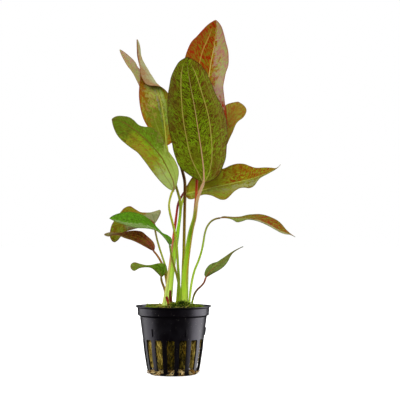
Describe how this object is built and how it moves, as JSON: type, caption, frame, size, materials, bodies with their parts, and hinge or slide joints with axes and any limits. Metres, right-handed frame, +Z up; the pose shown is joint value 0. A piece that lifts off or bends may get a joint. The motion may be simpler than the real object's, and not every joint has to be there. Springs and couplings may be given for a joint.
{
  "type": "potted aquatic sword plant",
  "caption": "Rosette of stalked green and red leaves growing from a rockwool plug in a slotted black net pot.",
  "frame": {"origin": "centre of the pot's base, on the plane it stands on", "axes": "+Z up along the pot's axis; -Y toward the side with the largest leaf; +X to that side's right"},
  "size_m": [0.1371, 0.0602, 0.2617],
  "materials": {
    "pot_plastic": "satin",
    "rockwool": "matte",
    "roots": "matte",
    "moss": "matte",
    "rootstock": "matte",
    "leaf_front": "satin",
    "leaf_tall": "satin",
    "leaf_back_left": "satin",
    "leaf_folded": "satin",
    "leaf_left": "satin",
    "leaf_right": "satin",
    "leaf_back_right": "satin",
    "leaf_arching": "satin",
    "leaf_low_right": "satin",
    "leaf_low_green": "satin",
    "leaf_low_olive": "satin",
    "leaf_low_red": "satin",
    "leaf_low_waisted": "satin",
    "stalk_green": "satin",
    "stalk_red": "satin",
    "stalk_dark": "satin",
    "stub": "matte"
  },
  "bodies": {
    "root": {"net_pot": "pot_plastic", "rockwool_plug": "rockwool", "root_mat": "roots", "moss_cover": "moss", "rootstock_crown": "rootstock", "stalk_front": "stalk_green", "blade_front": "leaf_front", "stalk_tall": "stalk_red", "blade_tall": "leaf_tall", "stalk_back_left": "stalk_dark", "blade_back_left": "leaf_back_left", "stalk_folded": "stalk_green", "blade_folded": "leaf_folded", "stalk_left": "stalk_green", "blade_left": "leaf_left", "stalk_right": "stalk_green", "blade_right": "leaf_right", "stalk_back_right": "stalk_red", "blade_back_right": "leaf_back_right", "stalk_arching": "stalk_green", "blade_arching": "leaf_arching", "stalk_low_right": "stalk_dark", "blade_low_right": "leaf_low_right", "stalk_low_green": "stalk_green", "blade_low_green": "leaf_low_green", "stalk_low_olive": "stalk_green", "blade_low_olive": "leaf_low_olive", "stalk_low_red": "stalk_dark", "blade_low_red": "leaf_low_red", "stalk_low_waisted": "stalk_green", "blade_low_waisted": "leaf_low_waisted", "stub_tall": "stub", "stub_short": "stub"}
  },
  "joints": []
}
